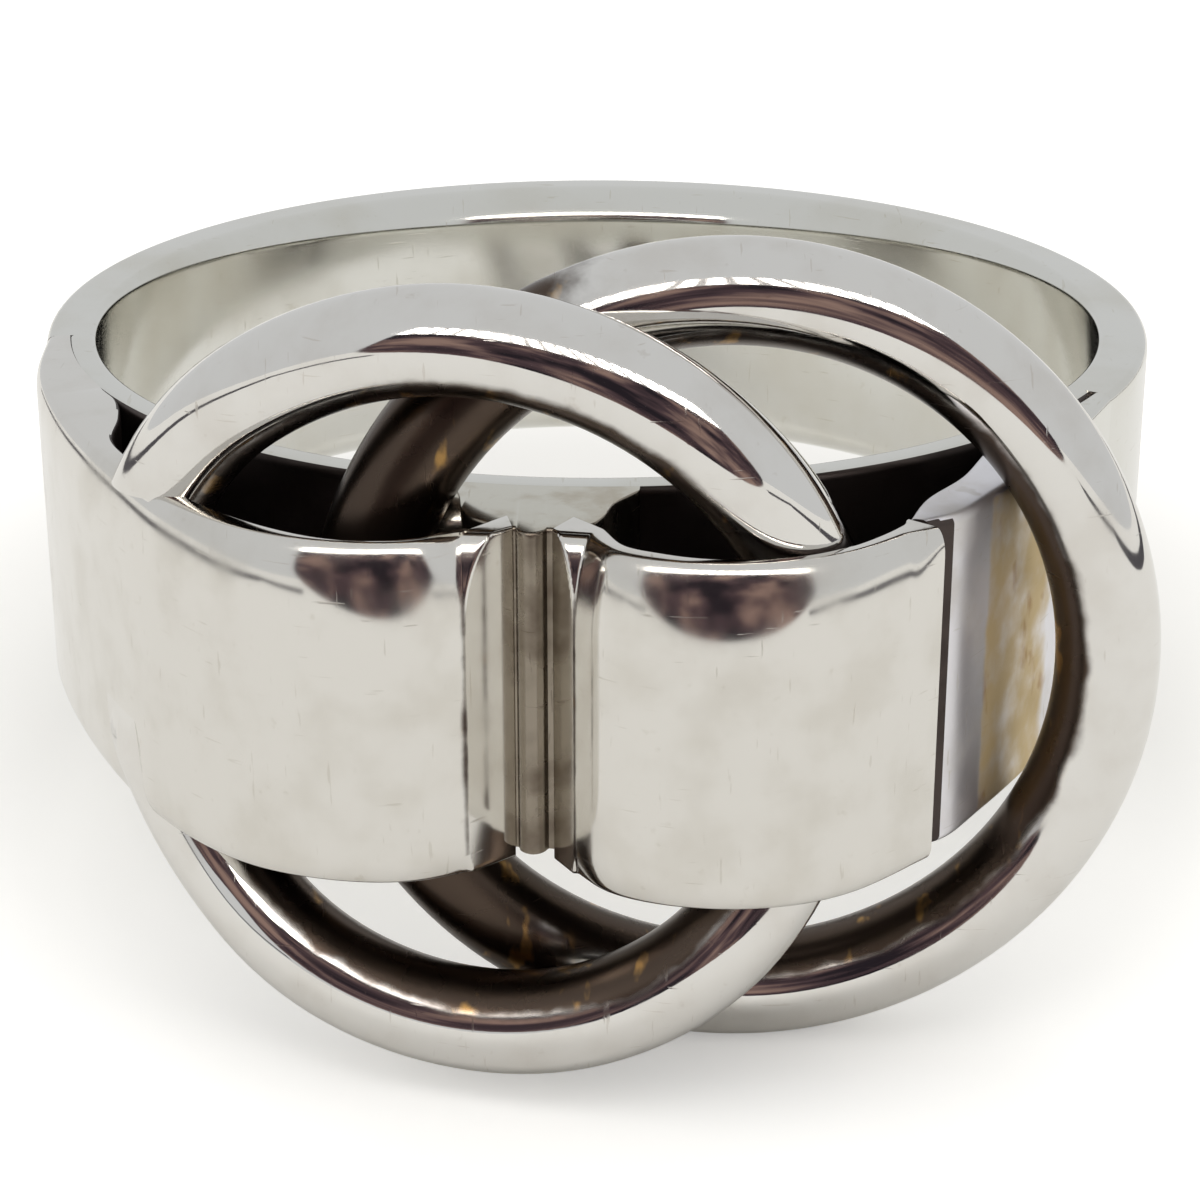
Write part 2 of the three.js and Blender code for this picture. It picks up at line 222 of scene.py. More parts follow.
def buildSilverSkin():
    group = bpy.data.node_groups.new("silverSkin", "ShaderNodeTree")
    newSocket(group, "Polish", "INPUT", "NodeSocketColor", (0.8, 0.79, 0.76, 1))
    newSocket(group, "Tarnish", "INPUT", "NodeSocketColor", (0.4, 0.33, 0.22, 1))
    newSocket(group, "Tarnish Amount", "INPUT", "NodeSocketFloat", 0.1)
    newSocket(group, "Stain Scale", "INPUT", "NodeSocketFloat", 350.0)
    newSocket(group, "Gloss", "INPUT", "NodeSocketFloat", 0.08)
    newSocket(group, "Haze", "INPUT", "NodeSocketFloat", 0.1)
    newSocket(group, "Stain And Shade", "INPUT", "NodeSocketFloat", 0.0)
    newSocket(group, "Deep", "INPUT", "NodeSocketColor", (0.06, 0.045, 0.035, 1))
    newSocket(group, "Color", "OUTPUT", "NodeSocketColor")
    newSocket(group, "Roughness", "OUTPUT", "NodeSocketFloat")
    newSocket(group, "Height", "OUTPUT", "NodeSocketFloat")
    nodes, links = group.nodes, group.links
    given = nodes.new("NodeGroupInput")
    out = nodes.new("NodeGroupOutput")
    coords = nodes.new("ShaderNodeTexCoord")

    def noise(scale, detail, stretch=None, turn=(0, 0, 0)):
        tex = nodes.new("ShaderNodeTexNoise")
        tex.inputs["Scale"].default_value = scale
        tex.inputs["Detail"].default_value = detail
        source = coords.outputs["Object"]
        if stretch is not None:
            mapping = nodes.new("ShaderNodeMapping")
            mapping.inputs["Scale"].default_value = stretch
            mapping.inputs["Rotation"].default_value = turn
            links.new(source, mapping.inputs["Vector"])
            source = mapping.outputs["Vector"]
        links.new(source, tex.inputs["Vector"])
        return tex

    def ramp(source, low, high):
        remap = nodes.new("ShaderNodeMapRange")
        remap.interpolation_type = "SMOOTHSTEP"
        remap.inputs["From Min"].default_value = low
        remap.inputs["From Max"].default_value = high
        links.new(source, remap.inputs["Value"])
        return remap.outputs["Result"]

    def maths(kind, a, b):
        node = nodes.new("ShaderNodeMath")
        node.operation = kind
        for socket, value in zip(node.inputs, (a, b)):
            if isinstance(value, (int, float)):
                socket.default_value = value
            else:
                links.new(value, socket)
        return node.outputs["Value"]

    stain = noise(350, 5)
    links.new(given.outputs["Stain Scale"], stain.inputs["Scale"])
    blotch = ramp(stain.outputs["Fac"], 0.42, 0.72)
    fine = noise(4200, 3)
    speck = ramp(fine.outputs["Fac"], 0.66, 0.78)
    scratchA = ramp(noise(900, 2, (14, 1.2, 1.6), (0.3, 0.2, 0.9)).outputs["Fac"], 0.69, 0.74)
    scratchB = ramp(noise(1100, 2, (1.1, 1.3, 16), (0.5, 0.7, 0.2)).outputs["Fac"], 0.70, 0.75)
    scratch = maths("MAXIMUM", scratchA, scratchB)

    amount = maths("MULTIPLY", blotch, given.outputs["Tarnish Amount"])
    marks = maths("ADD", maths("MULTIPLY", speck, 0.22), maths("MULTIPLY", scratch, 0.28))
    dirt = maths("ADD", amount, marks)

    def blend(factor, a, b):
        mix = nodes.new("ShaderNodeMix")
        mix.data_type = "RGBA"
        colors = [socket for socket in mix.inputs if socket.type == "RGBA"]
        links.new(factor, mix.inputs["Factor"])
        links.new(a, colors[0])
        links.new(b, colors[1])
        return [socket for socket in mix.outputs if socket.type == "RGBA"][0]

    # where the stain-and-shade mask is high the colour turns to Deep: painted shade with tarnish on most
    # pieces, a real stain on the tail plate
    patchy = noise(1500, 4)
    patches = maths("MULTIPLY", maths("SUBTRACT", patchy.outputs["Fac"], 0.5), 0.9)
    spread = maths("ADD", given.outputs["Stain And Shade"], patches)
    deep = maths("MULTIPLY", ramp(spread, 0.25, 0.8), ramp(given.outputs["Stain And Shade"], 0.0, 0.2))
    worn = blend(dirt, given.outputs["Polish"], given.outputs["Tarnish"])
    # golden specks in the dark colour are painted glints
    golden = nodes.new("ShaderNodeRGB")
    golden.outputs["Color"].default_value = (0.46, 0.27, 0.09, 1)
    glint = ramp(noise(1300, 3, (1.6, 1.0, 0.7), (0.4, 0.2, 0.6)).outputs["Fac"], 0.60, 0.70)
    buried = blend(maths("MULTIPLY", glint, 0.75), given.outputs["Deep"], golden.outputs["Color"])
    links.new(blend(deep, worn, buried), out.inputs["Color"])

    rough = maths("ADD", given.outputs["Gloss"], maths("MULTIPLY", blotch, given.outputs["Haze"]))
    rough = maths("ADD", rough, maths("MULTIPLY", scratch, 0.10))
    rough = maths("ADD", rough, maths("MULTIPLY", deep, 0.22))
    links.new(rough, out.inputs["Roughness"])
    wobble = noise(260, 1)
    swell = maths("MULTIPLY", wobble.outputs["Fac"], 1.6)
    height = maths("SUBTRACT", swell, maths("MULTIPLY", scratch, 0.05))
    height = maths("SUBTRACT", height, maths("MULTIPLY", speck, 0.03))
    links.new(height, out.inputs["Height"])
    return group


silverSkin = buildSilverSkin()


def silverFinish(
    name, polish, tarnish, amount, gloss, haze, stainScale=350.0, bump=0.25, deep=(0.07, 0.05, 0.042),
):
    material = bpy.data.materials.new(name)
    material.use_nodes = True
    nodes, links = material.node_tree.nodes, material.node_tree.links
    shader = nodes["Principled BSDF"]
    shader.inputs["Metallic"].default_value = 1.0
    skin = nodes.new("ShaderNodeGroup")
    skin.node_tree = silverSkin
    skin.inputs["Polish"].default_value = (*polish, 1)
    skin.inputs["Tarnish"].default_value = (*tarnish, 1)
    skin.inputs["Tarnish Amount"].default_value = amount
    skin.inputs["Stain Scale"].default_value = stainScale
    skin.inputs["Gloss"].default_value = gloss
    skin.inputs["Haze"].default_value = haze
    skin.inputs["Deep"].default_value = (*deep, 1)
    stainAndShade = nodes.new("ShaderNodeAttribute")
    stainAndShade.attribute_name = "stainAndShade"
    links.new(stainAndShade.outputs["Fac"], skin.inputs["Stain And Shade"])
    bumpNode = nodes.new("ShaderNodeBump")
    bumpNode.inputs["Strength"].default_value = bump
    bumpNode.inputs["Distance"].default_value = 0.02 * mm
    links.new(skin.outputs["Color"], shader.inputs["Base Color"])
    links.new(skin.outputs["Roughness"], shader.inputs["Roughness"])
    links.new(skin.outputs["Height"], bumpNode.inputs["Height"])
    links.new(bumpNode.outputs["Normal"], shader.inputs["Normal"])
    return material


strapSilver = silverFinish("strapSilver", (0.75, 0.73, 0.69), (0.50, 0.46, 0.38), 0.26, 0.10, 0.09, 800.0)
linkSilver = silverFinish(
    "linkSilver", (0.775, 0.76, 0.73), (0.48, 0.42, 0.35), 0.2, 0.045, 0.05, 900.0,
    deep=(0.085, 0.062, 0.048),
)
bandSilver = silverFinish("bandSilver", (0.74, 0.735, 0.695), (0.52, 0.48, 0.37), 0.3, 0.09, 0.10)
# near-black for faces in the hollows: tarnish and painted shade
hollowTarnishAndShade = silverFinish(
    "hollowTarnishAndShade", (0.075, 0.06, 0.055), (0.03, 0.024, 0.022), 0.8, 0.38, 0.25, 500.0,
)
webSilver = silverFinish("webSilver", (0.64, 0.62, 0.55), (0.42, 0.36, 0.26), 0.6, 0.15, 0.12, 1500.0)
# a dark brown silver for the post's sides, darker than its top
grooveDark = silverFinish(
    "grooveDark", (0.30, 0.262, 0.212), (0.13, 0.10, 0.075), 0.9, 0.22, 0.2, 900.0,
)
tailTarnish = silverFinish(
    "tailTarnish", (0.80, 0.79, 0.82), (0.56, 0.52, 0.44), 0.4, 0.40, 0.12, 900.0, deep=(0.66, 0.53, 0.31),
)
print("finishes ready")

linerRadius = ring["linerRadius"]
seat = linerRadius + ring["seam"]


# places on an outline, each an angle and a share of how far the strap reaches past the liner
def outside(reach, spots):
    return [(angle, linerRadius + share * reach) for angle, share in spots]


# the same for an inner face, each with the wall's thickness there
def inside(reach, spots):
    return [(angle, linerRadius + share * reach - wall) for angle, share, wall in spots]


# plain back and sides of the band, thicker and softer at the back
band = {
    "columns": 150, "from": ring["rightShoulder"], "to": 360 + ring["leftShoulder"], "fullBack": 172,
    "backWall": 1.6, "dome": 0.12,
    "roundTop": (0.14, 0.50), "insideTall": (0.12, 0.62), "insideDeep": (0.12, 0.72),
}


def backShare(angle):
    return smoothStep(-ring["leftShoulder"], band["fullBack"], min(angle, 360 - angle))


def bandRadiusAt(angle):
    extra = ring["boreRadius"] + band["backWall"] - ring["bandRadius"]
    return ring["bandRadius"] + extra * backShare(angle)


# a pair of sizes holds one for the shoulders and one for the back
def between(pair, share):
    return pair[0] + (pair[1] - pair[0]) * share


def bandShape(t, z):
    soft = backShare(between((band["from"], band["to"]), t))
    outRound = between(band["roundTop"], soft)
    inTall = between(band["insideTall"], soft)
    inDeep = between(band["insideDeep"], soft)
    below = ring["halfHeight"] - abs(z)
    dome = band["dome"] * soft * (1 - (z / ring["halfHeight"]) ** 2)
    return (rimInset(below, inTall, inDeep), rimInset(below, outRound, outRound) - dome)


bandAngles = np.linspace(band["from"], band["to"], band["columns"])
shankPiece = raiseWall(
    "band",
    arcLine(band["from"], band["to"], ring["boreRadius"], band["columns"]),
    np.array([polar(a, bandRadiusAt(a)) for a in bandAngles]),
    rimLevels(band["insideTall"][1], steps=18), bandShape,
)
shankPiece.data.materials.append(bandSilver)
mountPiece(shankPiece, "shank", slot="worn_silver")
print("band made")


# thin liner behind the hollows
liner = {"columns": 110, "rim": 0.12, "outward": 0.6}


def linerShape(t, z):
    inset = rimInset(ring["halfHeight"] - abs(z), liner["rim"], liner["rim"])
    return (inset, inset)


linerPiece = raiseWall(
    "boreLiner",
    arcLine(ring["leftShoulder"], ring["rightShoulder"], ring["boreRadius"], liner["columns"]),
    arcLine(ring["leftShoulder"], ring["rightShoulder"], linerRadius, liner["columns"]),
    rimLevels(0.14, steps=6, flats=3), linerShape,
)
linerPiece.data.materials.append(bandSilver)
linerPiece.data.materials.append(hollowTarnishAndShade)
# the liner's faces towards the hollows take the near-black material: tarnish and painted shade
for face in linerPiece.data.polygons:
    out = Vector((face.center.x, face.center.y - axisY * mm, 0)).normalized()
    if face.normal.dot(out) > liner["outward"]:
        face.material_index = 1
mountPiece(linerPiece, "liner", slot="worn_silver")
print("liner made")

# left half of the strap
leftStrap = {
    "columns": 120, "flankColumns": 36, "crownTall": 1.45, "crownDeep": 0.34, "footTall": 0.45,
    "footDeep": 0.12, "cornerDeep": 0.5, "crease": 0.09, "cornerSpan": 0.05, "swellSpan": (0.05, 0.5),
    "flank": [(-9.4, linerRadius + 0.875 * ring["leftReach"]), (-6.3, 10.93)],
    "flankInner": [(-10, 11.2), (-7.2, 10.4)],
    "outer": [(ring["leftShoulder"], ring["bandRadius"])] + outside(ring["leftReach"], [
        (-70, 0.25), (-60.2, 0.37), (-51.5, 0.51), (-43.2, 0.69), (-34, 0.94),
        (-24.7, 1.15), (-18.2, 1.15), (-13.7, 1.085), (-11.2, 1.0), (-9.4, 0.875),
    ]),
    "inner": [(angle, seat - 0.07) for angle in np.linspace(ring["leftShoulder"], -57, 8)]
    + inside(ring["leftReach"], [
        (-52, 0.12, 0), (-47, 0.52, 0.45), (-41, 0.69, ring["wall"]), (-33.2, 0.92, 0.55),
        (-24.6, 1.1, 0.52), (-18.2, 1.16, ring["wall"]), (-13.9, 1.08, ring["wall"]),
        (-10, 0.9, ring["wall"]),
    ]),
}

# a strap's rims where nothing swells, and the smaller ones on its inner face and its creases
rimEdge = {"tall": 0.16, "deep": 0.14, "inside": 0.1, "crease": 0.05}


# corner is how near the groove a column is, and flank how far down the groove's side it lies
def strapShape(z, swell, corner, flank, piece):
    below = ring["halfHeight"] - abs(z)
    if z > 0:
        tall = rimEdge["tall"] + (piece["crownTall"] - rimEdge["tall"]) * swell
        deep = rimEdge["deep"] + (piece["crownDeep"] - rimEdge["deep"]) * swell
        deep += (piece["cornerDeep"] - deep) * corner
    else:
        tall = rimEdge["tall"] + (piece["footTall"] - rimEdge["tall"]) * swell
        deep = rimEdge["deep"] + (piece["footDeep"] - rimEdge["deep"]) * swell
    top, bottom = piece["flank"][0][1], piece["flank"][1][1]
    sunk = (top - bottom) * flank
    inset = rimInset(below, tall, deep)
    edge = rimInset(below, rimEdge["crease"], rimEdge["crease"])
    insideEdge = rimInset(below, rimEdge["inside"], rimEdge["inside"])
    return (insideEdge * smoothStep(0.2, 0.4, swell), max(edge, inset - sunk))


# the flat side of the groove cuts the rounded crown off at a slant
def leftShape(t, z):
    crest = leftStrap["columns"] / (leftStrap["columns"] + leftStrap["flankColumns"])
    corner = smoothStep(crest - leftStrap["cornerSpan"], crest, t)
    flank = max(0.0, (t - crest) / (1 - crest))
    swell = smoothStep(*leftStrap["swellSpan"], t * 1.1)
    return strapShape(z, swell, corner, flank, leftStrap)


def withFlank(line, flank, count, atStart=False):
    ends = np.array([polar(a, r) for a, r in flank])
    steps = np.linspace(0, 1, count + 1)[1:, None]
    run = ends[0] + (ends[1] - ends[0]) * steps
    return np.vstack([run[::-1], line]) if atStart else np.vstack([line, run])


# the faces turned to the finger are the walls of the hollows and take the near-black hollow material:
# tarnish and painted shade
def darkInside(piece, facing=-0.5):
    for face in piece.data.polygons:
        out = Vector((face.center.x, face.center.y - axisY * mm, 0)).normalized()
        if face.normal.dot(out) < facing:
            face.material_index = 1


leftInner = planLine(leftStrap["inner"], leftStrap["columns"])
leftOuter = planLine(leftStrap["outer"], leftStrap["columns"], 30)
leftPiece = raiseWall(
    "leftBulge",
    withFlank(leftInner, leftStrap["flankInner"], leftStrap["flankColumns"]),
    withFlank(leftOuter, leftStrap["flank"], leftStrap["flankColumns"]),
    rimLevels(leftStrap["crownTall"], steps=16), leftShape,
)
leftPiece.data.materials.append(strapSilver)
leftPiece.data.materials.append(hollowTarnishAndShade)
darkInside(leftPiece)


# thin dark lines along the creases where the strap's face turns into the groove, painted shade in the
# creases
creaseLine = {"dark": 0.62, "core": 0.35, "halfHeight": 2.3}


def creaseShade(piece):
    creaseX, creaseY = polar(*piece["flank"][0])
    wide = piece["crease"]

    def howDeep(place, normal):
        away = math.hypot(place.x - creaseX, place.y - creaseY)
        dark = creaseLine["dark"] * (1 - smoothStep(creaseLine["core"] * wide, wide, away))
        return dark if abs(place.z) < creaseLine["halfHeight"] else 0.0
    return howDeep


markStainAndShade(leftPiece, creaseShade(leftStrap))
mountPiece(leftPiece, "left_bulge")
print("left bulge made")

# right half of the strap, from the groove to its crisp corner
rightStrap = {
    "columns": 110, "flankColumns": 30, "crownTall": 1.45, "crownDeep": 0.34, "footTall": 0.45,
    "footDeep": 0.12, "cornerDeep": 0.5, "crease": 0.08, "cornerSpan": 0.12, "flattenSpan": (0.92, 1.0),
    "flank": [(-1.6, 11.5), (-3.3, 10.98)], "flankInner": [(0.6, 10.88), (-1.6, 10.4)],
    "outer": outside(ring["rightReach"], [
        (-1.6, 0.67), (0.3, 0.83), (2.9, 0.93), (5.9, 1.0), (9.2, 1.04), (13.1, 1.05),
        (17.1, 1.0), (21, 0.9), (24.1, 0.82),
    ]),
    "inner": inside(ring["rightReach"], [
        (0.6, 0.62, 0.45), (2, 0.83, ring["wall"]), (4.2, 0.92, ring["wall"]),
        (6.6, 0.99, ring["wall"]), (9.4, 1.03, ring["wall"]), (12.8, 1.04, ring["wall"]),
        (16.6, 0.99, ring["wall"]), (19.8, 0.9, ring["wall"]), (22.7, 0.8, ring["wall"]),
    ]),
}


def rightShape(t, z):
    crest = rightStrap["flankColumns"] / (rightStrap["columns"] + rightStrap["flankColumns"])
    corner = 1 - smoothStep(crest, crest + rightStrap["cornerSpan"], t)
    flank = max(0.0, (crest - t) / crest)
    swell = 1 - 0.8 * smoothStep(*rightStrap["flattenSpan"], t)
    return strapShape(z, swell, corner, flank, rightStrap)


rightInner = planLine(rightStrap["inner"], rightStrap["columns"])
rightOuter = planLine(rightStrap["outer"], rightStrap["columns"], 40)
rightPiece = raiseWall(
    "rightBulge",
    withFlank(rightInner, rightStrap["flankInner"], rightStrap["flankColumns"], atStart=True),
    withFlank(rightOuter, rightStrap["flank"], rightStrap["flankColumns"], atStart=True),
    rimLevels(rightStrap["crownTall"], steps=16), rightShape,
)
rightPiece.data.materials.append(strapSilver)
rightPiece.data.materials.append(hollowTarnishAndShade)
darkInside(rightPiece)
markStainAndShade(rightPiece, creaseShade(rightStrap))
mountPiece(rightPiece, "right_bulge")
print("right bulge made")

# plate from the corner back to the right shoulder
tail = {
    "columns": 90, "rimInside": 0.1, "rimOutside": 0.14,
    "darkBefore": 26.1, "silverAfter": 45.5, "topFacing": 0.7,
    "stainFrom": (30.2, 31.6), "stainTo": (41.0, 45.5), "stain": 0.66,
    "outer": [(24.0, 11.62), (25.0, 11.55), (25.7, 11.66)] + outside(ring["rightReach"], [
        (31.6, 0.55), (38, 0.4), (45.6, 0.26), (53, 0.155),
    ]) + [(ring["rightShoulder"], ring["bandRadius"])],
    "inner": inside(ring["rightReach"], [
        (22.8, 0.79, ring["wall"]), (26.2, 0.6, ring["wall"]), (31.8, 0.44, ring["wall"]),
        (37.5, 0.26, ring["wall"]),
    ]) + [(angle, seat) for angle in np.linspace(43, ring["rightShoulder"], 6)],
}


def tailShape(t, z):
    below = ring["halfHeight"] - abs(z)
    near = rimInset(below, tail["rimInside"], tail["rimInside"])
    return (near, rimInset(below, tail["rimOutside"], tail["rimOutside"]))


tailPiece = raiseWall(
    "tailPlate",
    planLine(tail["inner"], tail["columns"]), planLine(tail["outer"], tail["columns"], 20),
    rimLevels(0.16, steps=6), tailShape,
)
tailPiece.data.materials.append(tailTarnish)
tailPiece.data.materials.append(hollowTarnishAndShade)
tailPiece.data.materials.append(bandSilver)
darkInside(tailPiece)


def angleOf(place):
    return math.degrees(math.atan2(place.x, -place.y))


def tailStain(place, normal):
    angle = angleOf(place)
    facing = normal.dot(Vector((place.x, place.y, 0)).normalized())
    span = smoothStep(*tail["stainFrom"], angle) * (1 - smoothStep(*tail["stainTo"], angle))
    return tail["stain"] * span * smoothStep(0.55, 0.9, facing)


markStainAndShade(tailPiece, tailStain)
for face in tailPiece.data.polygons:
    place = Vector((face.center.x, face.center.y - axisY * mm, 0))
    # near the corner the plate's side faces take the near-black hollow material, painted shade
    if angleOf(place) < tail["darkBefore"] and face.normal.z < tail["topFacing"]:
        face.material_index = 1
    if angleOf(place) > tail["silverAfter"]:
        face.material_index = 2
mountPiece(tailPiece, "tail_plate", slot="tarnished_silver")
print("tail plate made")

# ribbed filler in the groove
post = {
    "columns": 90, "innerFrom": -13.6, "innerTo": 4.0, "sunk": 0.1, "top": ring["halfHeight"] - 0.015,
    "rimTall": 0.06, "rimDeep": 0.05, "foot": -2.48, "topFacing": 0.8,
    "outline": [
        (-11.8, linerRadius + 0.55), (-10.6, linerRadius + 1.2), (-8.6, linerRadius + 1.5),
        (-6.9, 10.84), (-6.4, 10.9), (-6.1, 10.9), (-5.85, 11.02), (-5.4, 11.1), (-4.9, 11.13),
        (-4.4, 11.1), (-4.0, 11.02), (-3.7, 10.91), (-3.3, 10.93), (-2.6, 10.95),
        (-0.6, linerRadius + 1.55), (0.5, linerRadius + 1.2), (1.6, linerRadius + 0.6),
        (3.8, linerRadius + 0.1),
    ],
}
postOuter = planLine(post["outline"], post["columns"])
postInner = arcLine(post["innerFrom"], post["innerTo"], linerRadius - post["sunk"], post["columns"])


def postShape(t, z):
    return (0.0, rimInset(post["top"] - z, post["rimTall"], post["rimDeep"]) if z > 0 else 0.0)


postLevels = [z for z in rimLevels(0.14, half=post["top"], steps=5, flats=3) if z > post["foot"]]
postPiece = raiseWall("groovePost", postInner, postOuter, postLevels, postShape)
postPiece.data.materials.append(grooveDark)
postPiece.data.materials.append(webSilver)
# the post's top faces take the lighter silver
for face in postPiece.data.polygons:
    if face.normal.z > post["topFacing"]:
        face.material_index = 1
mountPiece(postPiece, "centre_post", slot="dark_groove")
print("post made")

# a bead of solder at the foot of the right link's left strand
solder = {"angle": -12.2, "radius": 9.58, "z": 2.12, "size": (0.8, 0.46, 0.43)}
bpy.ops.object.select_all(action="DESELECT")
solderX, solderY = polar(solder["angle"], solder["radius"])
bpy.ops.mesh.primitive_uv_sphere_add(
    segments=32, ring_count=20, radius=mm,
    location=(solderX * mm, (solderY + axisY) * mm, (middleZ + solder["z"]) * mm),
    rotation=(0, 0, math.radians(solder["angle"])), scale=solder["size"],
)
solderBead = bpy.context.object
solderBead.name = "solderBead"
bpy.ops.object.transform_apply(location=True, rotation=True, scale=True)
bpy.ops.object.shade_smooth()
solderBead.data.materials.append(webSilver)
mountPiece(solderBead, slot="worn_silver")

# round wire links, bent to follow the finger
bore = ring["boreRadius"]
links = {
    "stations": 144, "sides": 40, "leftX": -0.208 * bore, "rightX": 0.239 * bore,
    "leftSize": 10.46, "rightSize": 11.18, "cutHeight": 2.52, "cutLean": 0.42,
    "crossX": 0.023 * bore, "wireGap": 0.03, "slant": 1.19,
}

# the right link rests on the liner at its left strand and on the tail plate at its right one
rightRest = {
    "leftAngle": -17.1, "leftGap": 0.108, "rightAngle": 39.1, "rightGap": 0.5322, "tailShare": 0.37,
    "bow": 0.11,
}


def rightDepth(x):
    ax, ay = polar(rightRest["leftAngle"], linerRadius + ring["wireRadius"] + rightRest["leftGap"])
    tailFace = linerRadius + rightRest["tailShare"] * ring["rightReach"]
    bx, by = polar(rightRest["rightAngle"], tailFace + ring["wireRadius"] + rightRest["rightGap"])
    share = (x - ax) / (bx - ax)
    return ay + (by - ay) * share + rightRest["bow"] * 4 * share * (1 - share)


# the left link's run, across as shares of the bore's radius and deep from where the links cross
leftRun = [
    (-1.1, 5.0), (-0.816, 3.15), (-0.66, 2.1), (-0.517, 1.28), (-0.207, 0.42), (0.023, 0.0),
    (0.23, -0.08), (0.31, 0.16), (0.4, 0.68), (0.6, 1.6),
]
crossY = rightDepth(links["crossX"]) - links["slant"] * (2 * ring["wireRadius"] + links["wireGap"])
leftKnots = smoothLine([(x * bore, crossY + deep) for x, deep in leftRun], 200, 12)


def leftDepth(x):
    return float(np.interp(x, leftKnots[:, 0], leftKnots[:, 1]))


def bendLink(name, centreX, diameter, oval, tilt, depthAt):
    bpy.ops.object.select_all(action="DESELECT")
    bpy.ops.mesh.primitive_torus_add(
        major_segments=links["stations"], minor_segments=links["sides"],
        major_radius=diameter / 2 * mm, minor_radius=ring["wireRadius"] * mm,
        location=(0, 0, 0), rotation=(math.pi / 2, 0, 0),
    )
    link = bpy.context.object
    link.name = name
    bpy.ops.object.transform_apply(location=True, rotation=True, scale=True)
    spots = np.array([v.co for v in link.data.vertices])
    angles = np.arctan2(spots[:, 2], spots[:, 0])
    station = np.round(angles / (2 * math.pi) * links["stations"]).astype(int) % links["stations"]
    for k in range(links["stations"]):
        angle = 2 * math.pi * k / links["stations"]

        def centre(a):
            u = diameter / 2 * (1 + oval) * math.cos(a)
            w = diameter / 2 * (1 - oval) * math.sin(a)
            x = centreX + u * math.cos(tilt) - w * math.sin(tilt)
            z = u * math.sin(tilt) + w * math.cos(tilt)
            return Vector((x, depthAt(x), z))

        spot = centre(angle)
        along = (centre(angle + 0.001) - centre(angle - 0.001)).normalized()
        deep = (Vector((0, 1, 0)) - along * along.y).normalized()
        wide = along.cross(deep)
        old = Vector((math.cos(angle), 0, math.sin(angle)))
        for index in np.nonzero(station == k)[0]:
            offset = Vector(spots[index]) - old * (diameter / 2 * mm)
            place = spot * mm + wide * (-offset.dot(old)) + deep * offset.y
            link.data.vertices[index].co = place + Vector((0, axisY * mm, middleZ * mm))
    onlySelect(link)
    bpy.ops.object.mode_set(mode="EDIT")
    bpy.ops.mesh.select_all(action="SELECT")
    bpy.ops.mesh.normals_make_consistent(inside=False)
    bpy.ops.object.mode_set(mode="OBJECT")
    bpy.ops.object.shade_smooth()
    return link


leftLink = bendLink(
    "leftLink", links["leftX"], links["leftSize"], oval=-0.018, tilt=0, depthAt=leftDepth,
)
rightLink = bendLink(
    "rightLink", links["rightX"], links["rightSize"], oval=0.02, tilt=-0.85, depthAt=rightDepth,
)

# the left link is let into the strap: what would stand outside the strap's wall is cut away
cutSpan = slice(8, 90)
cutReach = 1.4
strapMiddle = (0.3 * leftInner + 0.7 * leftOuter)[cutSpan]
cutLevels = [-links["cutHeight"], -1.9, -1.2, -0.6, 0, links["cutHeight"]]


# the cut leans out below, so the link's lower end runs out on the strap's face
def cutShape(t, z):
    return (links["cutLean"] * max(0.0, -z / links["cutHeight"]), 0.0)


cutter = raiseWall("linkCutter", strapMiddle, strapMiddle * cutReach, cutLevels, cutShape)
onlySelect(leftLink)
cut = leftLink.modifiers.new("letIn", "BOOLEAN")
cut.operation = "DIFFERENCE"
cut.solver = "EXACT"
cut.object = cutter
bpy.ops.object.modifier_apply(modifier="letIn")
bpy.data.objects.remove(cutter, do_unlink=True)
bpy.ops.object.shade_smooth_by_angle(angle=math.radians(creaseAngle["cutLink"]))


# the inner sides of the links and all that lies in the hollows are darkened: tarnish and painted shade
def linkTarnishAndShade(centreX, buried):
    def howDeep(place, normal):
        inward = Vector((centreX - place.x, 0, -place.z)).normalized()
        facing = normal.dot(inward)
        inner = smoothStep(0.25, 0.8, facing)
        return max(inner, buried(place))
    return howDeep


markStainAndShade(leftLink, linkTarnishAndShade(links["leftX"], lambda p: 0.0))
markStainAndShade(rightLink, linkTarnishAndShade(links["rightX"], lambda p: 1 - smoothStep(-1.6, 1.0, p.x)))
for link, node in ((leftLink, "left_link"), (rightLink, "right_link")):
    link.data.materials.append(linkSilver)
    mountPiece(link, node)
print("links made")

studio = {
    "floorSize": 1.2, "floorColor": (0.93, 0.91, 0.87), "sky": (0.68, 0.69, 0.70),
    "fill": 0.9, "floorLift": 0.35, "lampCount": 21, "lampPitch": 2.9, "lampGlow": 8.0, "barGlow": 0.5,
}


def stageMaterial(name, color, glow=None):
    material = bpy.data.materials.new(name)
    material.use_nodes = True
    nodes, links = material.node_tree.nodes, material.node_tree.links
    shader = nodes["Principled BSDF"]
    shader.inputs["Base Color"].default_value = (*color, 1)
    shader.inputs["Roughness"].default_value = 0.9
    shader.inputs["Specular IOR Level"].default_value = 0.0
    if glow is not None:
        shader.inputs["Emission Color"].default_value = (*color, 1)
        shader.inputs["Emission Strength"].default_value = glow
        shader.inputs["Base Color"].default_value = (0, 0, 0, 1)
    return material


def hide(obj):
    obj.visible_camera = False
    obj.visible_shadow = False
    obj.visible_diffuse = False


def stageCard(name, low, high, material):
    bpy.ops.object.select_all(action="DESELECT")
    centre = [(a + b) / 2 * mm for a, b in zip(low, high)]
    size = [(b - a) * mm for a, b in zip(low, high)]
    bpy.ops.mesh.primitive_cube_add(size=1, location=centre, scale=size)
    card = bpy.context.object
    card.name = name
    bpy.ops.object.transform_apply(location=True, rotation=True, scale=True)
    card.data.materials.append(material)
    hide(card)
    return card


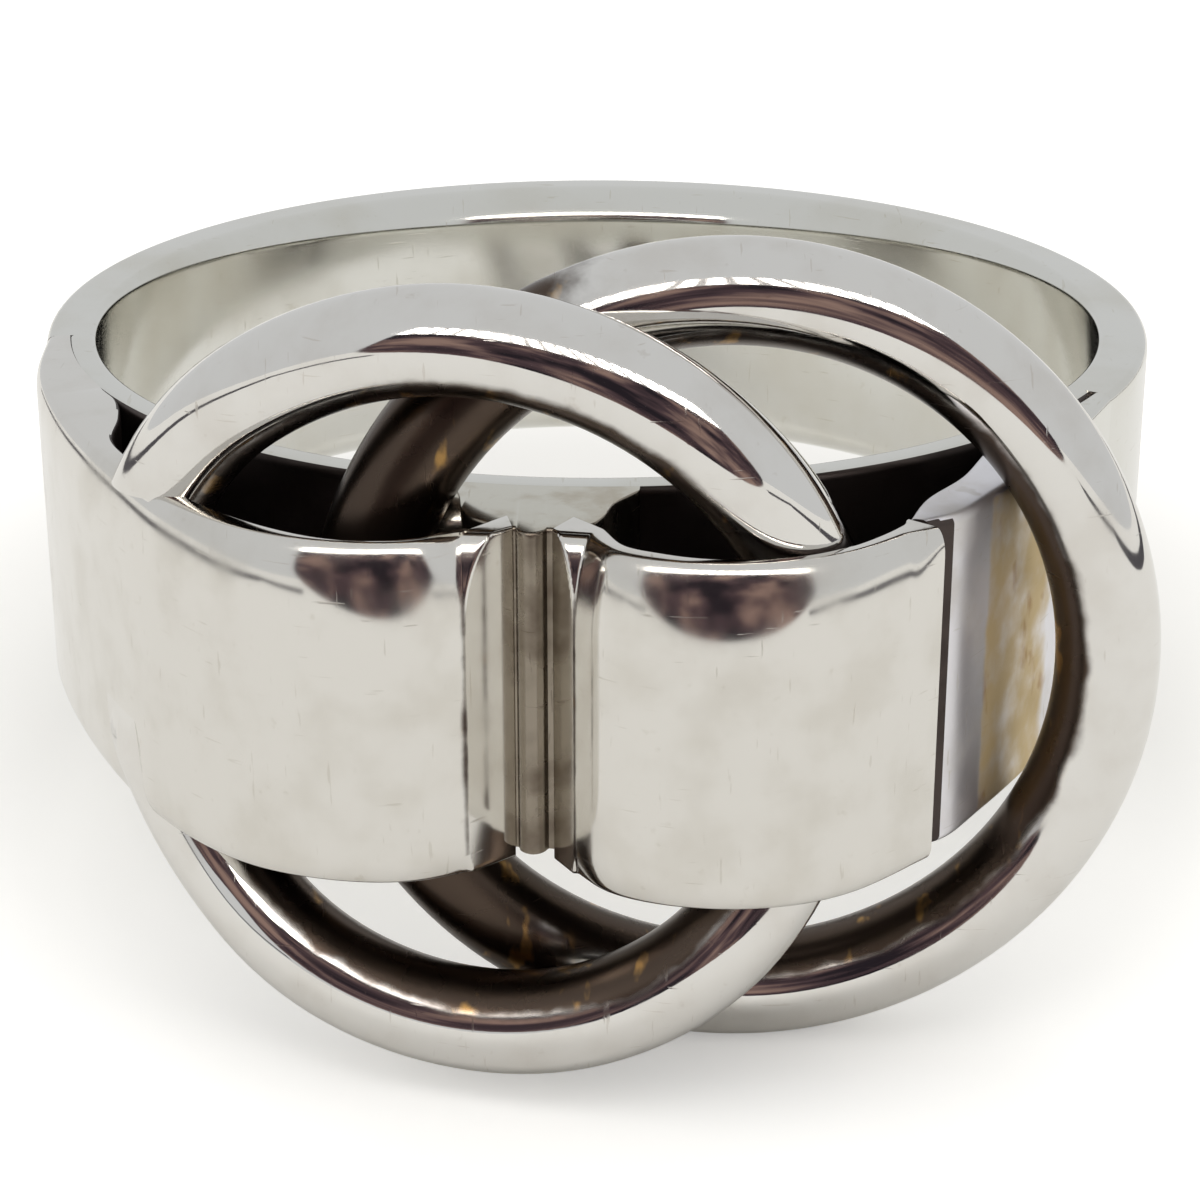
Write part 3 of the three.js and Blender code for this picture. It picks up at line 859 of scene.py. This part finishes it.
bpy.ops.object.select_all(action="DESELECT")
bpy.ops.mesh.primitive_plane_add(size=studio["floorSize"], location=(0, 0.2, 0))
floor = bpy.context.object
floor.name = "paleFloor"
bpy.ops.object.transform_apply(location=True, rotation=True, scale=True)
floor.data.materials.append(stageMaterial("paleFloor", studio["floorColor"]))

world = bpy.data.worlds.new("tent")
bpy.context.scene.world = world
world.use_nodes = True
world.node_tree.nodes["Background"].inputs["Color"].default_value = (*studio["sky"], 1)
world.node_tree.nodes["Background"].inputs["Strength"].default_value = 1.0

# dark mottled screen in front, with a row of lamps above it
screenPaint = stageMaterial("darkScreen", (0.075, 0.05, 0.052), 1.0)
screenNodes, screenLinks = screenPaint.node_tree.nodes, screenPaint.node_tree.links
screenCoords = screenNodes.new("ShaderNodeTexCoord")
screenNoise = screenNodes.new("ShaderNodeTexNoise")
screenNoise.inputs["Scale"].default_value = 130
screenNoise.inputs["Detail"].default_value = 4
screenRamp = screenNodes.new("ShaderNodeValToRGB")
screenRamp.color_ramp.elements[0].position = 0.36
screenRamp.color_ramp.elements[0].color = (0.022, 0.017, 0.022, 1)
screenRamp.color_ramp.elements[1].position = 0.66
screenRamp.color_ramp.elements[1].color = (0.30, 0.20, 0.17, 1)
middle = screenRamp.color_ramp.elements.new(0.5)
middle.color = (0.085, 0.055, 0.062, 1)
screenLinks.new(screenCoords.outputs["Object"], screenNoise.inputs["Vector"])
screenLinks.new(screenNoise.outputs["Fac"], screenRamp.inputs["Fac"])
screenLinks.new(screenRamp.outputs["Color"], screenNodes["Principled BSDF"].inputs["Emission Color"])
screen = {"half": 30, "far": -42, "near": -41, "foot": 13, "top": 29, "drop": 12.8, "barTop": 42}
stageCard(
    "darkScreen",
    (-screen["half"], screen["far"], screen["foot"]), (screen["half"], screen["near"], screen["top"]),
    screenPaint,
)
bpy.ops.object.select_all(action="DESELECT")
bpy.ops.mesh.primitive_cylinder_add(
    vertices=96, radius=mm, depth=mm,
    location=(0, (screen["far"] + screen["near"]) / 2 * mm, screen["foot"] * mm),
    rotation=(math.pi / 2, 0, 0), scale=(screen["half"], screen["drop"], 1),
)
screenFoot = bpy.context.object
screenFoot.name = "darkScreenFoot"
bpy.ops.object.transform_apply(location=True, rotation=True, scale=True)
screenFoot.data.materials.append(screenPaint)
hide(screenFoot)
barPaint = stageMaterial("lampBar", (1.0, 0.95, 0.93), studio["barGlow"])
stageCard(
    "lampBar",
    (-screen["half"], screen["far"], screen["top"]), (screen["half"], -41.2, screen["barTop"]),
    barPaint,
)
lampPaint = stageMaterial("lampRow", (1.0, 0.96, 0.92), studio["lampGlow"])
lamp = {"half": 0.72, "far": -41.1, "near": -40.6, "low": 30, "high": 41}
for k in range(studio["lampCount"]):
    x = (k - (studio["lampCount"] - 1) / 2) * studio["lampPitch"]
    stageCard(
        f"lamp{k}",
        (x - lamp["half"], lamp["far"], lamp["low"]), (x + lamp["half"], lamp["near"], lamp["high"]),
        lampPaint,
    )
edgePaint = stageMaterial("tableEdge", (0.09, 0.085, 0.095), 1.0)
for side in (-1, 1):
    edgeX, footX = side * 52, side * 39.5
    stageCard(f"tableEdge{side}", (edgeX - 1, -42, 2.4), (edgeX + 1, 60, 4.5), edgePaint)
    stageCard(f"wallFoot{side}", (footX - 12.5, -42, 3.2), (footX + 12.5, -41, 4.5), edgePaint)

sun = bpy.data.lights.new("fill", "SUN")
sun.energy = studio["fill"]
sun.angle = math.radians(60)
sunObject = bpy.data.objects.new("fill", sun)
bpy.context.scene.collection.objects.link(sunObject)
sunObject.visible_glossy = False

cameraData = bpy.data.cameras.new("camera")
camera = bpy.data.objects.new("camera", cameraData)
bpy.context.scene.collection.objects.link(camera)
aim = {
    "distance": 52.464, "elevation": 21.494, "below": 2.547,
    "lens": 86.15, "shiftX": 0.0023, "shiftY": -0.0134,
}
camera.location = (
    0,
    (axisY - aim["distance"] * math.cos(math.radians(aim["elevation"]))) * mm,
    (middleZ - aim["below"] + aim["distance"] * math.sin(math.radians(aim["elevation"]))) * mm,
)
camera.rotation_euler = (math.radians(90 - aim["elevation"]), 0, 0)
cameraData.lens = aim["lens"]
cameraData.sensor_width = 36
cameraData.shift_x = aim["shiftX"]
cameraData.shift_y = aim["shiftY"]
cameraData.clip_start = 0.001
cameraData.clip_end = 10
bpy.context.scene.camera = camera

# the floor is lifted to near white for direct sight only, and less so in the ring's shade
floorTree = floor.data.materials[0].node_tree
floorNodes, floorLinks = floorTree.nodes, floorTree.links
sight = floorNodes.new("ShaderNodeLightPath")
lift = floorNodes.new("ShaderNodeMath")
lift.operation = "MULTIPLY"
lift.inputs[1].default_value = studio["floorLift"]
floorLinks.new(sight.outputs["Is Camera Ray"], lift.inputs[0])
shade = {"centre": (0, 10 * mm, 0), "dark": 9 * mm, "clear": 22 * mm}
floorCoords = floorNodes.new("ShaderNodeTexCoord")
away = floorNodes.new("ShaderNodeVectorMath")
away.operation = "DISTANCE"
away.inputs[1].default_value = shade["centre"]
floorLinks.new(floorCoords.outputs["Object"], away.inputs[0])
clearing = floorNodes.new("ShaderNodeMapRange")
clearing.interpolation_type = "SMOOTHSTEP"
clearing.inputs["From Min"].default_value = shade["dark"]
clearing.inputs["From Max"].default_value = shade["clear"]
floorLinks.new(away.outputs["Value"], clearing.inputs["Value"])
shaded = floorNodes.new("ShaderNodeMath")
shaded.operation = "MULTIPLY"
floorLinks.new(lift.outputs["Value"], shaded.inputs[0])
floorLinks.new(clearing.outputs["Result"], shaded.inputs[1])
floorLinks.new(shaded.outputs["Value"], floorNodes["Principled BSDF"].inputs["Emission Strength"])
floorNodes["Principled BSDF"].inputs["Emission Color"].default_value = (1, 1, 1, 1)
bpy.context.scene.view_settings.view_transform = "Standard"
print("studio ready")
